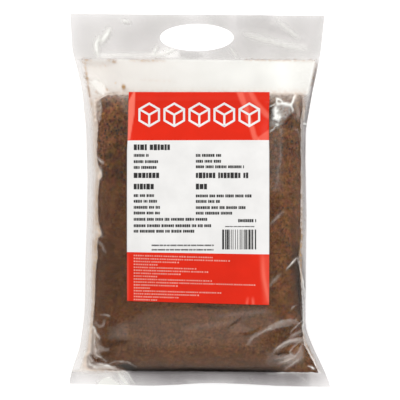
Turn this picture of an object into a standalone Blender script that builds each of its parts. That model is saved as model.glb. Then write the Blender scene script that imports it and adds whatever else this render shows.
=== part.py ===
"""A sealed clear pouch of brown sugar with a handle hole in its header, lying on its back.

Metres, +Z up. +X runs to the right of the printed front and +Y towards the handle. The origin is on the
surface that the pouch lies on, in the middle of its outline. The film is one flat bag, welded all round and
filled, so its outline is widest where it is flat, at the header and the two bottom corners, and draws in
where the sugar swells it. The label is a thin panel on the front.
"""

import math

import bmesh
import bpy
from mathutils import noise, Vector

# Driving dimensions
LENGTH = 0.4688
BOTTOM = -LENGTH / 2
TOP = LENGTH / 2
HEADER_HEIGHT = 0.0564
BOTTOM_FIN = 0.0174
LEFT_FIN = 0.0090
RIGHT_FIN = 0.0055
FIN_THICKNESS = 0.0010
# The top edge and the bottom edge run slightly downhill to the right, the bottom one over this height
HEADER_SKEW = 0.0024
BOTTOM_SKEW, BOTTOM_SKEW_HEIGHT = 0.0035, 0.0600
# The free edge of the bottom fin waves, across the pouch: (x, how far it is raised)
FIN_WAVE = (
    (-0.160, 0.0000),
    (-0.110, -0.0008),
    (-0.062, -0.0014),
    (-0.030, 0.0000),
    (-0.008, 0.0019),
    (0.013, 0.0029),
    (0.051, 0.0023),
    (0.088, 0.0006),
    (0.107, -0.0001),
    (0.160, -0.0005),
)

# The outline's left and right edges at heights along the pouch: (y, left x, right x)
OUTLINE = (
    (-0.2344, -0.1638, 0.1657),
    (-0.2120, -0.1591, 0.1562),
    (-0.1870, -0.1503, 0.1440),
    (-0.1620, -0.1465, 0.1337),
    (-0.1370, -0.1432, 0.1333),
    (-0.0750, -0.1427, 0.1340),
    (-0.0200, -0.1407, 0.1346),
    (0.0250, -0.1400, 0.1339),
    (0.0500, -0.1404, 0.1332),
    (0.0880, -0.1418, 0.1338),
    (0.1380, -0.1470, 0.1427),
    (0.1630, -0.1529, 0.1486),
    (0.1880, -0.1597, 0.1529),
    (0.2344, -0.1625, 0.1578),
)
OUTLINE_EASE = 0.0080

# Height of the front at the middle line, and of the welded seam, at heights along the pouch: (y, z)
CROWN = ((-0.220, 0.060), (-0.150, 0.065), (-0.080, 0.071), (0.000, 0.072), (0.060, 0.069), (0.125, 0.058))
SEAM = (
    (-0.234, 0.013),
    (-0.200, 0.017),
    (-0.130, 0.027),
    (0.060, 0.028),
    (0.130, 0.018),
    (0.178, 0.010),
    (0.234, 0.007),
)
HEIGHT_EASE = 0.0250

# How far in from its weld a sheet takes to reach its full height, and how full its curve is
SIDE_REACH, SIDE_POWER = 0.074, 3.0
BOTTOM_REACH, BOTTOM_POWER = 0.062, 3.2
SHOULDER_REACH, SHOULDER_POWER = 0.056, 1.35
BACK_REACH, BACK_POWER = 0.042, 2.4

# The right-hand fin is turned down against the pouch, the left-hand one sags a little, both only along the
# full part of the pouch, which starts these far from the seal and from the bottom
LEFT_FIN_SAG, RIGHT_FIN_DROP = 0.0030, 0.0100
FULL_BELOW_SEAL, FULL_ABOVE_BOTTOM = 0.060, 0.080

# The header's gentle wave across its width: height, length of one radian, phase
HEADER_WAVE, HEADER_WAVE_LENGTH, HEADER_WAVE_PHASE = 0.0022, 0.034, 0.6

# Main folds of the front, each a ridge: start x, y, end x, y, width, height
FOLDS = (
    (0.126, -0.146, 0.050, -0.172, 0.0065, 0.0030),
    (0.127, -0.160, 0.090, -0.184, 0.0060, 0.0030),
    (0.129, -0.178, 0.098, -0.203, 0.0060, 0.0028),
    (-0.128, -0.150, -0.112, -0.172, 0.0060, 0.0026),
    (-0.132, -0.184, -0.086, -0.206, 0.0065, 0.0030),
    (0.093, 0.112, 0.121, 0.086, 0.0070, -0.0034),
    (0.118, 0.128, 0.110, 0.078, 0.0065, 0.0028),
    (-0.122, 0.140, -0.128, 0.086, 0.0065, 0.0024),
)
# A fold runs on past both ends by this share of its length while it fades, by this power of a sine
FOLD_OVERRUN, FOLD_FADE = 0.2, 0.8
LUMP_SIZE, LUMP_HEIGHT = 0.055, 0.0011
# The relief has its full height from where the front has risen by this share
RELIEF_FROM = 0.25

# Handle hole: an ellipse through the header
HOLE_X, HOLE_Y = -0.0030, 0.2044
HOLE_HALF_WIDTH, HOLE_HALF_HEIGHT = 0.0465, 0.0171
HOLE_SIDES = 40
CUTTER_DEPTH = 0.060

# Label panel
LABEL_LEFT, LABEL_RIGHT = -0.0895, 0.0868
LABEL_BOTTOM, LABEL_TOP = -0.1276, 0.1340
LABEL_GAP, LABEL_THICKNESS = 0.0008, 0.0006
LABEL_COLUMNS = 20
LABEL_ROW_ZONES = ((0.1020, 22), (LABEL_TOP, 8))
LABEL_BAND_BOTTOM, LABEL_FOOT_TOP = 0.0740, -0.0655

# Grid of the two sheets: rows in zones down the pouch, columns in zones inwards from each weld, (end, cells)
ROW_ZONES = ((TOP - HEADER_HEIGHT, 6), (0.108, 9), (-0.150, 19), (BOTTOM + BOTTOM_FIN, 11), (BOTTOM, 2))
SIDE_ZONES = ((0.030, 7), (SIDE_REACH, 5))
MIDDLE_CELLS = 12

SUGAR_BROWN = (0.130, 0.060, 0.034, 1.0)
LABEL_RED = (0.780, 0.034, 0.018, 1.0)
LABEL_WHITE = (0.780, 0.760, 0.730, 1.0)


def between(stations, y, column):
    """Linear interpolation of one column of a list of stations sorted by their first value."""
    if y <= stations[0][0]:
        return stations[0][column]
    for low, high in zip(stations, stations[1:]):
        if y <= high[0]:
            share = (y - low[0]) / (high[0] - low[0])
            return low[column] + share * (high[column] - low[column])
    return stations[-1][column]


def eased(stations, y, ease, column=1):
    """The same, averaged over a short stretch so that the stations leave no corners."""
    steps = 8
    spots = [y + ease * (2 * k / steps - 1) for k in range(steps + 1)]
    return sum(between(stations, spot, column) for spot in spots) / len(spots)


def left_edge(y):
    return eased(OUTLINE, y, OUTLINE_EASE, 1)


def right_edge(y):
    return eased(OUTLINE, y, OUTLINE_EASE, 2)


def clamped(share):
    return min(max(share, 0.0), 1.0)


def swell(distance, reach, power):
    """0 at a weld, rising to 1 at reach: the section of a filled film from its seam inwards."""
    return 1.0 - (1.0 - clamped(distance / reach)) ** power


def ridge(x, y, fold):
    """Height of one fold at a point: a rounded ridge along a line, fading out at both ends."""
    x0, y0, x1, y1, width, height = fold
    dx, dy = x1 - x0, y1 - y0
    length = math.hypot(dx, dy)
    along = ((x - x0) * dx + (y - y0) * dy) / length**2
    off = ((x - x0) * dy - (y - y0) * dx) / length
    share = (along + FOLD_OVERRUN) / (1.0 + 2.0 * FOLD_OVERRUN)
    if not 0.0 < share < 1.0:
        return 0.0
    return height * math.sin(math.pi * share) ** FOLD_FADE * math.exp(-((off / width) ** 2))


def seam_height(x, y):
    """Middle height of the welded film: the fins, the header and the line where the sheets part."""
    z = eased(SEAM, y, HEIGHT_EASE / 2)
    past_left = max(left_edge(y) + LEFT_FIN - x, 0.0) / LEFT_FIN
    past_right = max(x - right_edge(y) + RIGHT_FIN, 0.0) / RIGHT_FIN
    full = clamped((TOP - HEADER_HEIGHT - y) / FULL_BELOW_SEAL) * clamped((y - BOTTOM) / FULL_ABOVE_BOTTOM)
    z -= full * (LEFT_FIN_SAG * past_left + RIGHT_FIN_DROP * past_right)
    above_seal = max(y - TOP + HEADER_HEIGHT, 0.0) / HEADER_HEIGHT
    return z + HEADER_WAVE * above_seal * math.sin(x / HEADER_WAVE_LENGTH + HEADER_WAVE_PHASE)


def parting(x, y):
    """How far the two sheets have parted at a point, front and back, each from 0 to 1."""
    from_left = x - left_edge(y) - LEFT_FIN
    from_right = right_edge(y) - RIGHT_FIN - x
    from_bottom = y - BOTTOM - BOTTOM_FIN
    from_seal = TOP - HEADER_HEIGHT - y
    ends = swell(from_bottom, BOTTOM_REACH, BOTTOM_POWER) * swell(from_seal, SHOULDER_REACH, SHOULDER_POWER)
    front = swell(from_left, SIDE_REACH, SIDE_POWER) * swell(from_right, SIDE_REACH, SIDE_POWER) * ends
    nearest = min(from_left, from_right, from_bottom, from_seal)
    return front, swell(nearest, BACK_REACH, BACK_POWER)


def front_height(x, y):
    """Top of the front sheet."""
    front, _ = parting(x, y)
    seam = seam_height(x, y)
    height = seam + FIN_THICKNESS / 2 + (eased(CROWN, y, HEIGHT_EASE) - seam) * front
    relief = sum(ridge(x, y, fold) for fold in FOLDS)
    relief += LUMP_HEIGHT * noise.noise(Vector((x, y, 0.0)) / LUMP_SIZE)
    return height + relief * clamped(front / RELIEF_FROM)


def back_height(x, y):
    """Underside of the back sheet, which lies flat under the sugar."""
    _, back = parting(x, y)
    return (seam_height(x, y) - FIN_THICKNESS / 2) * (1.0 - back)


def zone_lines(start, zones):
    """Grid lines from start through each zone's end, evenly spaced within a zone."""
    lines = [start]
    for end, cells in zones:
        first = lines[-1]
        lines += [first + (end - first) * (k + 1) / cells for k in range(cells)]
    return lines


def column_lines(y):
    """x of every grid column at height y: close together over each shoulder and wide in the middle."""
    left, right = left_edge(y), right_edge(y)
    from_left = zone_lines(0.0, ((LEFT_FIN, 1), *((LEFT_FIN + end, cells) for end, cells in SIDE_ZONES)))
    from_right = zone_lines(0.0, ((RIGHT_FIN, 1), *((RIGHT_FIN + end, cells) for end, cells in SIDE_ZONES)))
    rising = [left + distance for distance in from_left]
    falling = [right - distance for distance in reversed(from_right)]
    middle = zone_lines(rising[-1], ((falling[0], MIDDLE_CELLS),))
    return rising + middle[1:-1] + falling


def edge_shift(x, y):
    """How far the skew and the wave of the top and bottom edges move a point along the pouch."""
    across = (x - left_edge(y)) / (right_edge(y) - left_edge(y))
    above_seal = max(y - TOP + HEADER_HEIGHT, 0.0) / HEADER_HEIGHT
    near_bottom = clamped((BOTTOM + BOTTOM_SKEW_HEIGHT - y) / BOTTOM_SKEW_HEIGHT)
    below_weld = clamped((BOTTOM + BOTTOM_FIN - y) / BOTTOM_FIN)
    skew = BOTTOM_SKEW * near_bottom * (1.0 - across) - HEADER_SKEW * above_seal * across
    return skew + eased(FIN_WAVE, x, OUTLINE_EASE) * below_weld


def material(name, colour, roughness):
    made = bpy.data.materials.new(name)
    made.use_nodes = True
    shader = made.node_tree.nodes["Principled BSDF"]
    shader.inputs["Base Color"].default_value = colour
    shader.inputs["Roughness"].default_value = roughness
    shader.inputs["Metallic"].default_value = 0.0
    return made


def sheet_pair(name, columns, rows, place, front, back):
    """A closed solid between two height sheets: a flat grid, extruded once, its copies moved to the sheets.

    place(i, j) gives the plan position of grid point i, j. front and back give the heights there.
    """
    made = bmesh.new()
    bmesh.ops.create_grid(made, x_segments=columns, y_segments=rows, size=1.0)
    lower = list(made.verts)
    grown = bmesh.ops.extrude_face_region(made, geom=list(made.faces), use_keep_orig=True)
    upper = [v for v in grown["geom"] if isinstance(v, bmesh.types.BMVert)]
    for verts, height in ((lower, back), (upper, front)):
        for vert in verts:
            i = round((vert.co.x + 1.0) / 2.0 * columns)
            j = round((vert.co.y + 1.0) / 2.0 * rows)
            x, y = place(i, j)
            vert.co = (x, y + edge_shift(x, y), height(x, y))
    bmesh.ops.recalc_face_normals(made, faces=made.faces)
    mesh = bpy.data.meshes.new(name)
    made.to_mesh(mesh)
    made.free()
    return bpy.data.objects.new(name, mesh)


def make_bag(cutters):
    """The filled pouch with its fins and header, and the handle hole cut through the header."""
    rows = list(reversed(zone_lines(TOP, ROW_ZONES)))
    columns = [column_lines(y) for y in rows]
    bag = sheet_pair(
        "bag",
        len(columns[0]) - 1,
        len(rows) - 1,
        lambda i, j: (columns[j][i], rows[j]),
        front_height,
        back_height,
    )
    bag.data.materials.append(material("sugar_in_film", SUGAR_BROWN, 0.35))
    bag.data.shade_smooth()

    bpy.ops.mesh.primitive_cylinder_add(vertices=HOLE_SIDES, radius=1.0, depth=CUTTER_DEPTH)
    cutter = bpy.context.object
    cutter.name = "handle_hole_cutter"
    cutter.scale = (HOLE_HALF_WIDTH, HOLE_HALF_HEIGHT, 1.0)
    cutter.location = (HOLE_X, HOLE_Y, 0.0)
    cutter.hide_render = True
    cutter.display_type = "WIRE"
    for owner in list(cutter.users_collection):
        owner.objects.unlink(cutter)
    cutters.objects.link(cutter)
    cut = bag.modifiers.new("handle_hole", "BOOLEAN")
    cut.operation = "DIFFERENCE"
    cut.object = cutter
    return bag


def make_label():
    """The label, a thin panel a little above the front, with red ends and a white middle."""
    columns = zone_lines(LABEL_LEFT, ((LABEL_RIGHT, LABEL_COLUMNS),))
    rows = zone_lines(LABEL_BOTTOM, LABEL_ROW_ZONES)
    label = sheet_pair(
        "label",
        len(columns) - 1,
        len(rows) - 1,
        lambda i, j: (columns[i], rows[j]),
        lambda x, y: front_height(x, y) + LABEL_GAP + LABEL_THICKNESS,
        lambda x, y: front_height(x, y) + LABEL_GAP,
    )
    label.data.materials.append(material("label_white", LABEL_WHITE, 0.30))
    label.data.materials.append(material("label_red", LABEL_RED, 0.30))
    for face in label.data.polygons:
        middle = face.center.y
        face.material_index = 0 if LABEL_FOOT_TOP < middle < LABEL_BAND_BOTTOM else 1
    return label


def main():
    for obj in list(bpy.data.objects):
        bpy.data.objects.remove(obj)
    parts = bpy.data.collections.new("sugar_pouch")
    cutters = bpy.data.collections.new("cutters")
    bpy.context.scene.collection.children.link(parts)
    bpy.context.scene.collection.children.link(cutters)
    parts.objects.link(make_bag(cutters))
    parts.objects.link(make_label())


main()
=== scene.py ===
"""The looks of the pouch of brown sugar.

The pouch lies on its back, and the camera looks straight down on its printed front. Clear film, the sugar
inside it and the printed label replace the two plain solids of the frame. All three follow one surface, the
front sheet, which has the same form as the frame's. Metres, +Z up, +Y towards the handle.
"""

import math

import bmesh
import bpy
import numpy as np
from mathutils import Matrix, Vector, noise


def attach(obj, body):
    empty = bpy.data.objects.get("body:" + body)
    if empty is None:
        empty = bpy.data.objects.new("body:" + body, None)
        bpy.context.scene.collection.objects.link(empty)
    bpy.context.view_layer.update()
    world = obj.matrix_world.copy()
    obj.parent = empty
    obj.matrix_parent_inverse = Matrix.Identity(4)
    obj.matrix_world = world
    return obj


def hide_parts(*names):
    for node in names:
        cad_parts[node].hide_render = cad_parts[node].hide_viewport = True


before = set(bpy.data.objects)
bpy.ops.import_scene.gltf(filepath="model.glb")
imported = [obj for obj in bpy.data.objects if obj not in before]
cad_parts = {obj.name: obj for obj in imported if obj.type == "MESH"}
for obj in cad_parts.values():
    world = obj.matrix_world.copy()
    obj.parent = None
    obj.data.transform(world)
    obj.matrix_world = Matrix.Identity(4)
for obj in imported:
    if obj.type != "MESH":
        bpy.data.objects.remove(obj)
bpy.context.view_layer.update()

MM = 0.001
SEED = 20

# The pouch's form, as in the frame: the outline, the heights and how the sheets part from their welds
TOP, BOTTOM = 0.2344, -0.2344
HEADER_HEIGHT, BOTTOM_FIN, LEFT_FIN, RIGHT_FIN = 0.0564, 0.0174, 0.0090, 0.0055
SEAL = TOP - HEADER_HEIGHT
HEADER_SKEW, BOTTOM_SKEW, SKEW_HEIGHT = 0.0024, 0.0035, 0.0600
WIDTH = 0.3290
FIN_WAVE = (
    (-0.16, 0), (-0.11, -0.0008), (-0.062, -0.0014), (-0.03, 0), (-0.008, 0.0019), (0.013, 0.0029),
    (0.051, 0.0023), (0.088, 0.0006), (0.107, -0.0001), (0.16, -0.0005),
)
OUTLINE = (
    (-0.2344, -0.1638, 0.1657), (-0.212, -0.1591, 0.1562), (-0.187, -0.1503, 0.144),
    (-0.162, -0.1465, 0.1337), (-0.137, -0.1432, 0.1333), (-0.075, -0.1427, 0.134), (-0.02, -0.1407, 0.1346),
    (0.025, -0.14, 0.1339), (0.05, -0.1404, 0.1332), (0.088, -0.1418, 0.1338), (0.138, -0.147, 0.1427),
    (0.163, -0.1529, 0.1486), (0.188, -0.1597, 0.1529), (0.2344, -0.1625, 0.1578),
)
OUTLINE_EASE = 0.0080
CROWN = ((-0.22, 0.06), (-0.15, 0.065), (-0.08, 0.071), (0, 0.072), (0.06, 0.069), (0.125, 0.058))
SEAM = (
    (-0.234, 0.013), (-0.2, 0.017), (-0.13, 0.027), (0.06, 0.028), (0.13, 0.018), (0.178, 0.01),
    (0.234, 0.007),
)
HEIGHT_EASE = 0.0250
SIDE_REACH, SIDE_POWER = 0.074, 3.0
BOTTOM_REACH, BOTTOM_POWER = 0.062, 3.2
SHOULDER_REACH, SHOULDER_POWER = 0.056, 1.35
BACK_REACH, BACK_POWER = 0.042, 2.4
LEFT_FIN_SAG, RIGHT_FIN_DROP = 0.0030, 0.0100
FULL_BELOW_SEAL, FULL_ABOVE_BOTTOM = 0.060, 0.080
HEADER_WAVE, HEADER_WAVE_LENGTH, HEADER_WAVE_PHASE = 0.0022, 0.034, 0.6
FOLDS = (
    (0.126, -0.146, 0.05, -0.172, 0.0065, 0.003), (0.127, -0.16, 0.09, -0.184, 0.006, 0.003),
    (0.129, -0.178, 0.098, -0.203, 0.006, 0.0028), (-0.128, -0.15, -0.112, -0.172, 0.006, 0.0026),
    (-0.132, -0.184, -0.086, -0.206, 0.0065, 0.003), (0.093, 0.112, 0.121, 0.086, 0.007, -0.0034),
    (0.118, 0.128, 0.11, 0.078, 0.0065, 0.0028), (-0.122, 0.14, -0.128, 0.086, 0.0065, 0.0024),
)
FOLD_OVERRUN, FOLD_FADE = 0.2, 0.8
LUMP_SIZE, LUMP_HEIGHT = 0.055, 0.0011
RELIEF_FROM = 0.25
HOLE_X, HOLE_Y = -0.0030, 0.2044
HOLE_HALF_WIDTH, HOLE_HALF_HEIGHT = 0.0465, 0.0171

# Two sheets of film lie this far apart where they are welded
FILM_GAP = 0.0003

# Lines and places on the film, the sugar and the label are in millimetres. A row gives a line's width and
# share, or a place's soft edge and share, and then x and y of each point.

# Creases of the front sheet: width, height, gleam, points. A gleam is a painted highlight along the crease,
# partly the film's own stretched white. One below zero takes painted sheen away, so that the sugar behind the
# tight film shows dark.
CREASES = (
    # Crinkles of the top right corner
    (1.2, 1, 0.85, 95.3, 125.5, 96.5, 121, 98.5, 118.8),
    (1.1, 1.2, 0.85, 96.3, 126, 101, 124.8, 103.5, 121, 104, 119.5),
    (1.8, 1.4, 1, 98, 119, 103, 119.6, 109.6, 119, 114, 118.4),
    (1.5, 1.4, 1, 120, 131, 116.5, 122.3, 114.5, 118.5),
    (1.4, 1.2, 0.9, 114.2, 118.6, 116, 114, 116.6, 109.5), (0.9, 0.7, 0.7, 88, 116, 94, 119.6),
    (2.2, 1.2, 0.2, 96.5, 118, 94.3, 112, 94.6, 106, 98, 101), (1, 0.8, 0.7, 95, 94, 98, 92.5),
    (1.1, 0.8, 0.4, 88.4, 84.6, 94, 90.3), (1.8, 0.6, 0.08, 102, 90, 101, 80),
    (2, 0.8, 0.16, 120, 122, 123, 112, 124, 103), (1, 0.6, 0.9, 130, 96, 135, 95),
    (1.2, 0.6, 0.5, 129, 128, 131, 112, 131, 100),
    # Right side
    (1.5, 0.5, 0.07, 101, 75, 101, 49, 97, 39, 97, 21, 93, 13), (2, 0.8, 0.17, 104, -14, 96, -22, 88, -30),
    (1.2, 1, 0.7, 109, -86, 116, -77, 123, -72), (2, 0.8, 0.18, 87, -106, 93, -99, 100, -93),
    (1, 0.8, 0.3, 114, -136, 120, -131), (0.8, 0.8, 0.55, 123, -73, 126, -86, 131, -108, 133, -128),
    (1.4, 0.6, 0.14, 117, 90, 124, 86, 126, 76),
    # Fan of folds from the pinch at the bottom right
    (1.6, 1.4, 0.05, 69, -171, 83, -160, 100, -154, 113, -151),
    (0.8, 1, 0.36, 113, -165, 120, -158, 130, -150), (1.4, 1, 0.12, 112, -171, 118, -166, 128, -164),
    (1.4, 1.4, 0.1, 92, -187, 101, -180, 111, -175.5, 130, -176),
    (1, 0.9, 0.26, 119, -194, 115, -193, 113, -189, 115, -185, 121, -179, 128, -176),
    (1.2, 0.9, 0.24, 119, -194, 125, -188, 130, -178), (1.8, 0.8, 0.08, 95, -198, 106, -195.5, 116, -193),
    (1.6, 1, 0.1, 99, -204, 109, -200, 120, -195), (1.5, 1, 0.1, 108, -211.5, 114, -207, 124, -199.5),
    (1.1, 0.9, 1, 137, -208, 141, -209.5, 145, -212.5),
    (0.8, 0.7, 0.75, 132, -178, 136, -189, 145, -203, 149, -215),
    (1.2, 0.8, 0.4, 130, -137, 131, -149, 130, -162, 131, -175), (3, 0.5, 0.06, 20, -144, 52, -141, 90, -137),
    (3.5, 0.5, 0.05, -20, -160, 24, -154, 60, -147), (1.6, -0.8, -0.1, 93, -191, 113, -190),
    # Bottom left corner
    (1.1, 0.8, 0.28, -122, -143, -117, -142.5, -111, -144),
    (1.5, 0.8, 0.2, -130, -152, -126, -157, -120, -157, -118, -149),
    (1.5, 1.2, 0.6, -133, -156, -129, -166, -125, -172),
    (0.8, 0.6, 0.28, -131.5, -163, -130.5, -176, -129, -190),
    (0.8, 0.6, 0.18, -128, -174, -126, -183, -124, -190),
    (0.9, 0.9, 0.34, -135, -191, -126, -194.5, -116, -201),
    (0.9, 0.7, 0.3, -134, -200, -128, -204, -118, -207, -106, -208),
    (1, 0.5, 0.3, -140, -199, -137, -206, -128, -211), (0.9, 0.6, 0.26, -139, -192, -135, -200, -130, -208),
    (0.8, 1.2, 0.34, -112, -204, -101, -200.5, -91, -201.3, -82, -205.6, -79, -210),
    (1.8, 0.8, 0.26, -116, -206, -106, -209.5, -94, -213.2), (2.6, -0.9, 0, -121, -177, -85, -175),
    (2.4, -0.8, 0, -122, -191, -108, -190), (3.4, -1.2, -0.2, -103, -207, -82, -209),
    # Bottom fin
    (1.8, 0.5, 0, -101, -216, -97, -222, -94, -231),
    (1.5, 0.5, 0, -118, -219, -112, -218, -106, -221, -100, -228),
    (2, 0.5, 0.16, 118, -218, 128, -222, 136, -230), (1.6, 0.5, 0.1, 60, -220, 66, -229),
    # Pinches of the left weld
    (1.3, 0.8, 0.45, -128, 53, -124, 50, -119, 45), (2.2, 0.8, 0.4, -124, 41, -123, 35, -125, 25),
    (2.2, 0.8, 0.45, -126, -35, -122, -45), (1.6, 0.8, 0.2, -128, -50, -122, -54, -117, -65),
    # Header
    (2.6, 0.8, 1, -113, 215, -118, 206, -123, 198), (2.4, 0.8, 0.9, -127, 205, -130, 194, -128, 183),
    (1.6, 0.5, 0.7, -97, 226, -88, 224), (1.8, 0.6, 0.7, -53, 193, -57, 185),
    (1.8, 0.6, 0.6, -42, 185, -37, 188, -30, 190), (3, 0.9, 0.3, 98, 229, 110, 215, 126, 203),
    (4, 0.9, 0.3, 55, 210, 95, 198, 136, 188), (1.6, 0.4, 0.4, 39, 192, 43, 185, 49, 178),
    (1.8, 0.4, 0.3, -122, 183, -100, 182.6, -62, 183),
    (1.9, 0.4, 0.35, -64, 183, -50, 182.6, -44, 184.5, -34, 188),
)
# A line fades towards its ends like half a wave, cut by this share at both tips and raised to this power
CREASE_TIPS, CREASE_ENDS = 0.06, 0.6
# Painted light on one side of a fold: width, how many times wider it is on the left-hand side, share, points
SHEEN_VEILS = (
    (0.9, 2.4, 0.15, 60, -180, 63, -174, 67, -170, 79, -162.8, 95, -158.2, 113, -156),
    (1, 4, 0.17, 124, -152, 120, -149.5, 109, -148.3, 95, -152, 82, -159),
    (0.9, 3.5, 0.16, 127, -164.5, 118, -167, 112, -171.5),
    (1, 3.6, 0.28, 131, -173, 118, -172.8, 108, -175, 100, -180, 92, -187.5),
    (1, 3, 0.1, 95, -198, 106, -195.5, 117, -193), (1, 3.2, 0.14, 99, -204, 109, -200, 121, -195),
    (1, 3.2, 0.16, 108, -211.5, 114, -207, 126, -198),
)
CREASE_WAVER, CREASE_WAVER_SIZE, CREASE_BREAKS = 0.0012, 0.0055, 0.45
# Lines waver less in the header, by this share, and start to do so this far below the seal
HEADER_STEADY, HEADER_CALM = 0.85, 0.008
# Beside each crease lies a line of painted shade, this far to the lower right
CREASE_SHADE, CREASE_SHADE_GAP = 0.30, 0.0014

# Short pleats that run in from the side welds, between two heights and up to a slant either way: least and
# most of their gap, length, width and height
PLEATS_FROM, PLEATS_TO = -0.200, 0.160
PLEAT_GAP, PLEAT_LENGTH, PLEAT_SLANT = (0.007, 0.019), (0.012, 0.034), 0.4
PLEAT_WIDTH, PLEAT_HEIGHT = (0.0012, 0.0026), (0.0004, 0.0011)

# Cells of the film's grid: fins, the width between them, and rows of the header's halves, the pouch, the fin
FIN_CELLS, WIDTH_CELLS, HEADER_CELLS, LENGTH_CELLS, BOTTOM_CELLS = (8, 5), 251, 18, 282, 9
BACK_STEP = 3

# Outline of the sugar in millimetres: its left and right side at heights y, and its lower edge across x
SUGAR_LEFT = (
    (-214, -132), (-211, -140), (-206, -141.5), (-196, -141), (-190, -136), (-160, -134), (-152, -133),
    (-125, -131), (-93, -130), (-80, -129), (-72, -127), (-58, -128), (-48, -127), (-43, -122), (-27, -126.3),
    (-16, -127), (5, -127), (25, -125), (30, -121), (45, -127), (53, -128), (72, -128), (88, -127),
    (96, -126.5), (102, -129), (122, -129), (126, -124.5), (129, -120.5), (131, -116.5), (132, -113),
)
SUGAR_RIGHT = (
    (-218, 151), (-209, 148), (-193, 140), (-178, 131), (-162, 130), (-145, 130.5), (-125, 129), (-100, 127),
    (-77, 125.5), (-69, 125), (-45, 127.5), (-28, 126.5), (-15, 127), (31, 127), (88, 127), (101, 127),
    (115, 130), (122, 131), (132, 129),
)
SUGAR_LOW = (
    (-140, -212.8), (-86, -214.6), (-55, -215.1), (0, -215.2), (76, -216), (118, -216.3), (150, -216.6),
)
SUGAR_EASE, LOW_EASE = 1.5, 8.0
SUGAR_TOP = 0.1318
SUGAR_CELLS = (176, 246)
# Gap between the sugar and the film, the sugar's rounded nose, and the rim in which its outline waves
SUGAR_GAP, SUGAR_NOSE, SUGAR_RIM = 0.0004, 0.0070, 0.010
SUGAR_WAVE, SUGAR_WAVE_SIZE = 0.0008, 0.006
CLUMP_HEIGHT, CLUMP_SIZE, CRUMB_HEIGHT, CRUMB_SIZE = 0.0011, 0.007, 0.0006, 0.0035
# Painted shade: the sugar turns dark towards its lower edge, where it rounds down, over a reach, but not at
# the edge's
# two ends. Painted light: its left side is brighter, over another reach, against the shade of its rounded
# nose.
LOW_DARK, LOW_DARK_REACH = 1.0, 0.0083
LOW_FROM, LOW_DARK_START, LOW_DARK_TO, LOW_DARK_END = -0.100, 0.012, 0.124, 0.040
EDGE_PAINTED_LIGHT, EDGE_PAINTED_LIGHT_REACH = 0.45, 0.0025
# How mottled and how bright the sugar looks: the least, and places that add to it
MOTTLE_LEAST = 0.50
MOTTLED_PLACES = (
    (60, 0.8, -135, 140, -85, 140, -85, 20, -135, 20), (40, 0.65, 85, 140, 135, 140, 135, 60, 85, 60),
    (50, 0.35, 85, 60, 135, 60, 135, -215, 100, -215),
)
TONE_LEAST = 1.0
TONED_PLACES = (
    (40, 0.29, -135, 140, -85, 140, -85, 60, -135, 60), (8, 0.48, -124, 142, -86, 142, -90, 116, -124, 104),
    (30, -0.06, -135, 70, -85, 70, -85, -30, -135, -30),
    (60, -0.12, -135, -50, -85, -50, -85, -140, -135, -140),
    (24, 0.33, 94, 140, 135, 140, 135, -150, 94, -150), (30, 0.2, -100, -135, 90, -135, 90, -190, -100, -190),
    (24, -0.06, 94, 50, 135, 50, 135, -50, 94, -50), (10, 0.38, 106, -182, 132, -178, 150, -216, 108, -216),
    (14, -0.22, 104, -60, 132, -60, 132, -148, 104, -148), (8, -0.1, -100, 116, -90, 116, -90, 88, -97, 88),
    (16, -0.16, -112, -150, -72, -150, -72, -200, -112, -200),
)

# Soft borders of the welds, the sugar's outline, the side strips' ends, the left corner and the right half
WELD_SOFT, SUGAR_SOFT, STRIP_SOFT, LOW_SOFT = 0.0015, 0.0030, 0.004, 0.002
CORNER_SOFT, RIGHT_SOFT = 0.015, 0.010
# Sizes of the film's clouds, streaks, speckles and broken gleams, and how strongly they vary its marks
CLOUD_SIZE, STREAK_SIZE, STREAK_STRETCH, SPECKLE_SIZE, BREAK_SIZE = 0.030, 0.010, 0.12, 0.0035, 0.005
SHOULDER_CLOUD, WELD_CLOUD, HEADER_CLOUD = 0.25, 0.6, 0.3
SPECKLE_MIDDLE, SPECKLE_RANGE = 0.55, 1.3
HAZE_LEAST, HAZE_SPECKLE, DUST_LEAST, DUST_SPECKLE = 0.5, 0.7, 0.35, 0.75
# Milk and painted highlights over the sugar are warm in tone, but white from this value on, and stains are
# warm
WHITE_FROM, STAIN_WARMTH = 0.40, 5.0

# How milky the empty film above the sugar is, from left to right in millimetres, and in the two side strips.
# Towards the right the shoulder's white is painted glare, as of a light mirrored in the sloping film.
SHOULDER_MILK_AND_GLARE = ((-150, 0.32), (-60, 0.43), (20, 0.56), (80, 0.76), (140, 0.74))
SHOULDER_STAIN = ((-150, 0.05), (-60, 0.02), (20, 0.0))
LEFT_STRIP_MILK, RIGHT_STRIP_MILK, LOW_STRIP_MILK, FILM_MILK = 0.50, 0.08, 0.03, 0.001
HEADER_MILK, SIDE_MILK, BOTTOM_MILK = 0.12, 0.12, 0.04
LEFT_STRIP_STAIN, LEFT_STRIP_TO = 0.10, -0.110
# Haze on the film over the sugar's upper edge, and sugar dust outside its side edges
TOP_HAZE = ((-126, 0.05), (-119, 0.34), (-98, 0.42), (90, 0.42))
TOP_HAZE_REACH, HAZE_STAIN = 0.0050, 0.25
EDGE_DUST, EDGE_DUST_REACH = ((-215, 0.30), (-60, 0.90), (10, 0.66), (60, 0.40), (132, 0.30)), 0.0032
# Milk and painted highlights over the upper half of the sugar are mottled
HAZE_MOTTLE, HAZE_MOTTLE_SIZE, MOTTLE_RISE = 0.8, 0.0032, 0.02
# Where the milk and painted highlights over the sugar are neutral in tone, not warm
COOL_PLACES = ((8, 1, 86, 119, 116, 119, 115, 100, 104, 95, 103, 10, 86, 10),)
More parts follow.
